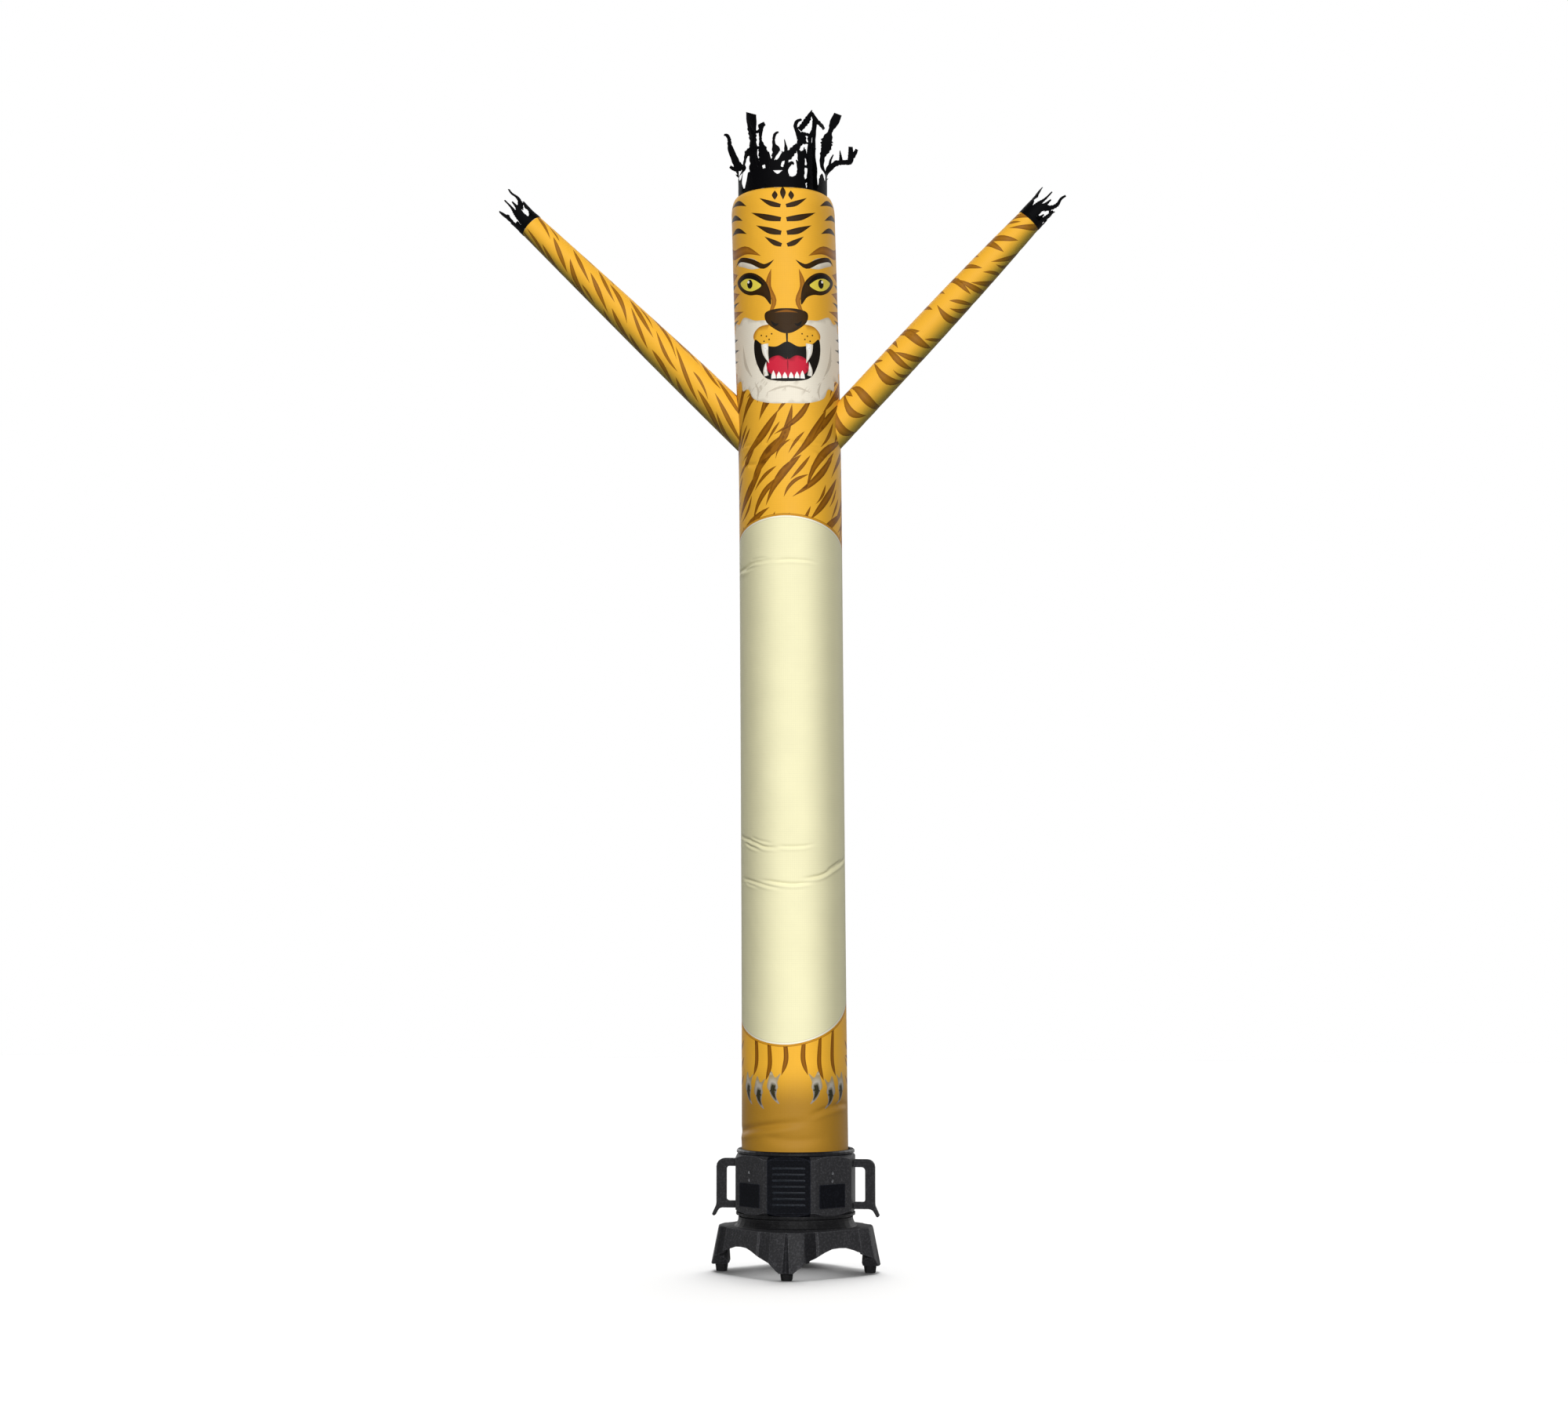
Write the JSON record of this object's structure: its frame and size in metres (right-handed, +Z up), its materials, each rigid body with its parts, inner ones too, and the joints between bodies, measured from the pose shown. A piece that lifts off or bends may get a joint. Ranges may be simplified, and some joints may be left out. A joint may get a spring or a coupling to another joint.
{
  "type": "inflatable air dancer with its blower",
  "caption": "Tall inflatable dancer of striped amber nylon with a cream belly panel, raised sleeves and ragged black streamers, standing on a black moulded blower with carrying handles.",
  "frame": {"origin": "on the floor under the middle of the whole part's outline; the blower's axis is 44 mm towards +X from it", "axes": "+Z up; -Y is the front, where the belly panel and the blower's bare front plate are; +X to the right seen from the front"},
  "size_m": [1.6956, 0.4852, 3.4184],
  "materials": {
    "amber_nylon": "printed ripstop nylon, amber with brown stripes, slightly glossy",
    "cream_nylon": "plain cream ripstop nylon, softly glossy",
    "black_nylon": "black nylon, cut raw into ragged strips",
    "black_plastic": "charcoal black moulded plastic with a fine grain",
    "dark_plate": "smooth near-black plate, bare",
    "rubber": "black rubber",
    "screw_steel": "dark plated steel"
  },
  "bodies": {
    "root": {"body_tube": "amber_nylon", "belly_panel": "cream_nylon", "arm_left": "amber_nylon", "arm_right": "amber_nylon", "hair_streamers": "black_nylon", "hand_streamers_left": "black_nylon", "hand_streamers_right": "black_nylon", "blower_housing": "black_plastic", "outlet_lip": "black_plastic", "outlet_collar": "black_plastic", "blower_neck": "black_plastic", "blower_base": "black_plastic", "intake_guard": "black_plastic", "cable_inlet": "black_plastic", "handle_left": "black_plastic", "handle_right": "black_plastic", "front_plate": "dark_plate", "label_left": "dark_plate", "label_right": "dark_plate", "foot_front": "rubber", "foot_right": "rubber", "foot_back": "rubber", "foot_left": "rubber", "screw_left_high": "screw_steel", "screw_left_low": "screw_steel", "screw_right_high": "screw_steel", "screw_right_low": "screw_steel"}
  },
  "joints": []
}
